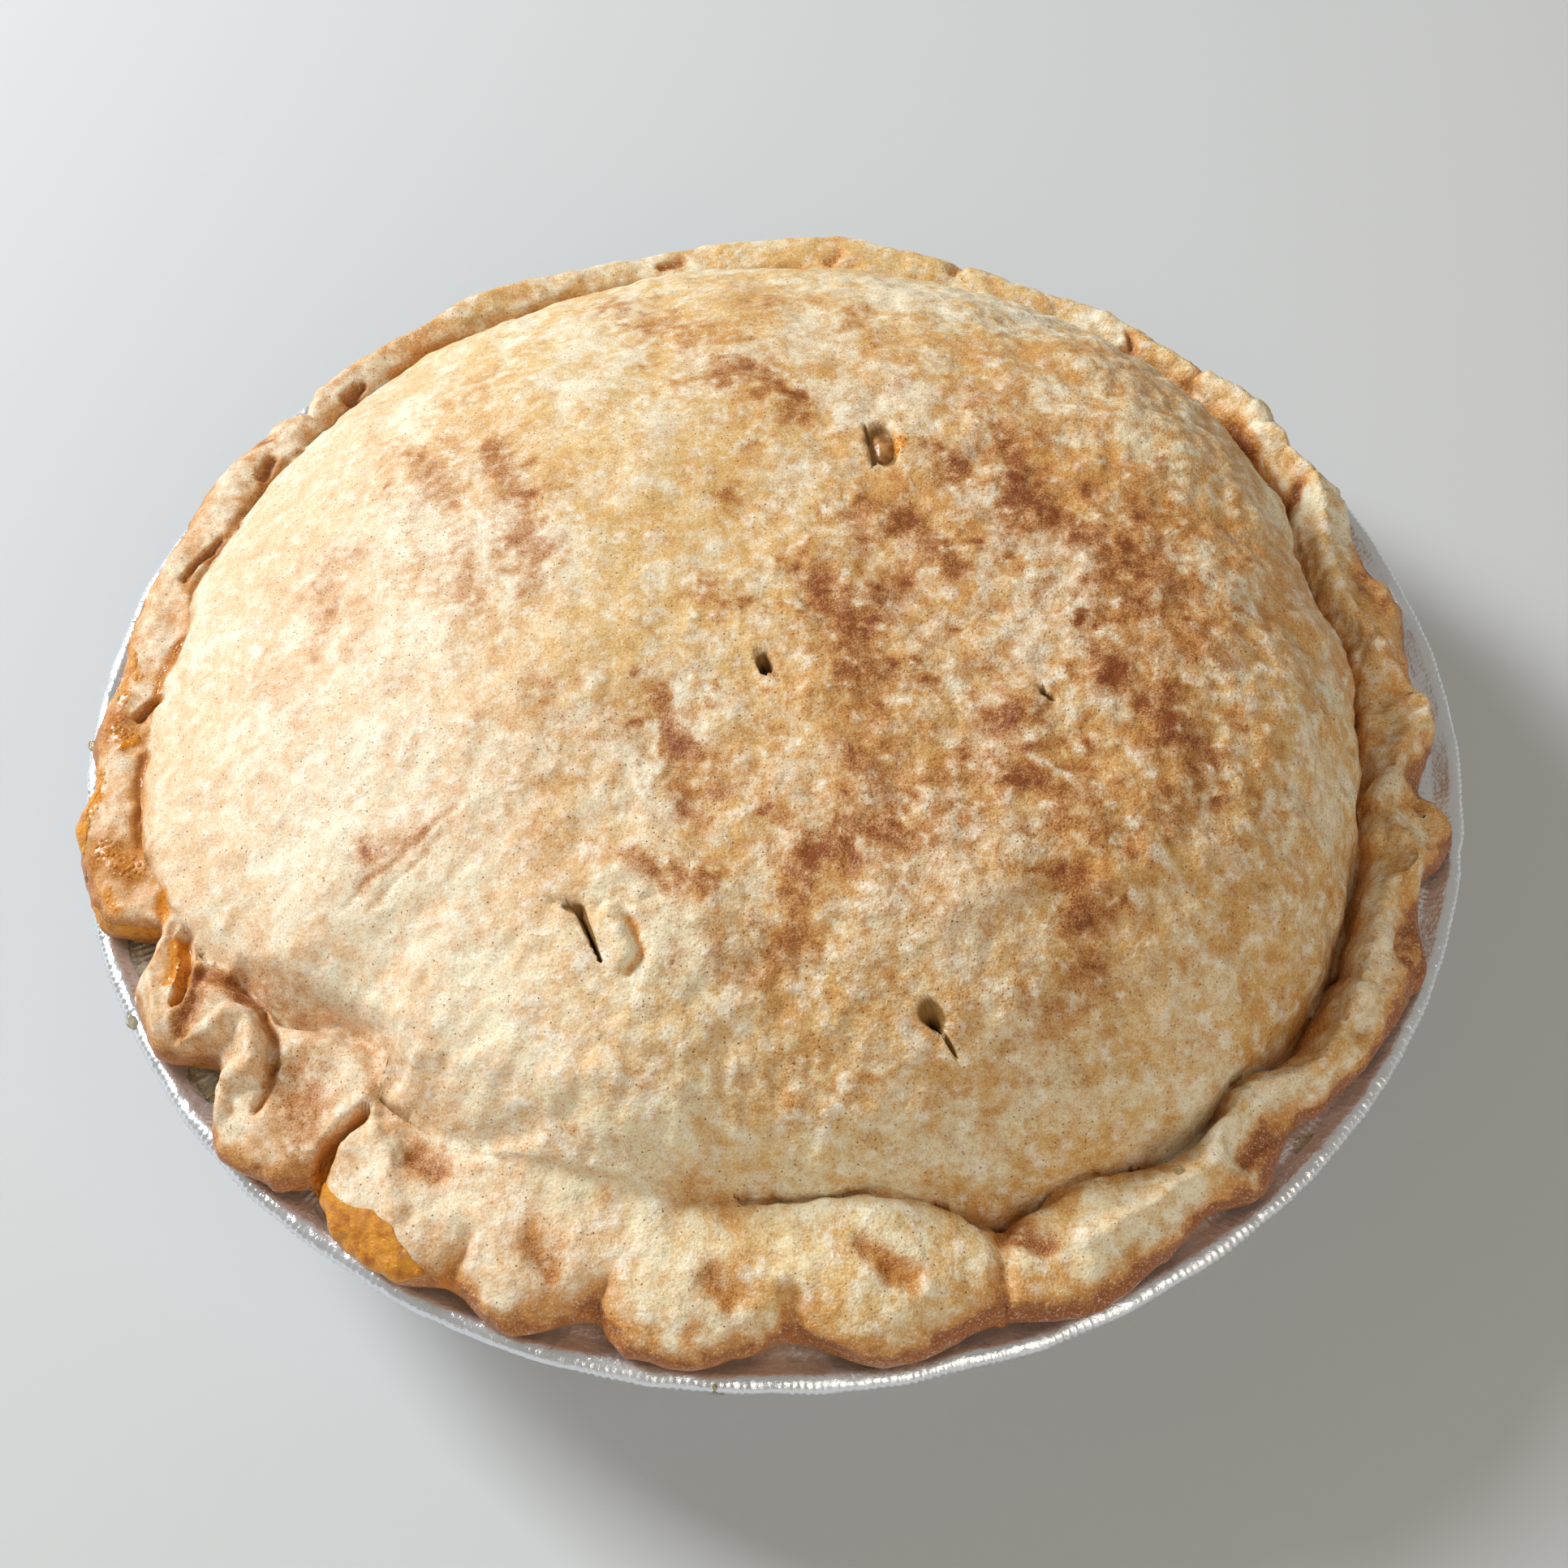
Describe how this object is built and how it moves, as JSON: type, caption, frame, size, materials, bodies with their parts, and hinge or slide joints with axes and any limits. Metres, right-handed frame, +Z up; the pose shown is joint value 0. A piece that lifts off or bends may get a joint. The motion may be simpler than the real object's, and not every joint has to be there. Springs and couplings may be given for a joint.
{
  "type": "apple pie",
  "caption": "Deep-dish double-crust apple pie with a domed lid, a hand-crimped rim and cut steam vents, in its own round foil tin.",
  "frame": {"origin": "the middle of the tin's flat base, on the surface that it stands on", "axes": "+Z up, +Y to the back of the pie, +X to its right; the side with the long folded-over crimps is at the front left"},
  "size_m": [0.2461, 0.2455, 0.0794],
  "materials": {
    "foil": "bright crinkled kitchen foil with a ribbed rolled edge",
    "pastry": "matte baked flaky pastry dusted with cinnamon, golden brown at its edges",
    "syrup": "glossy amber apple syrup baked onto the crust, nearly clear where it is thin",
    "apple": "moist baked apple, browned at its skin"
  },
  "bodies": {
    "root": {"tin": "foil", "pie": "pastry"}
  },
  "joints": []
}
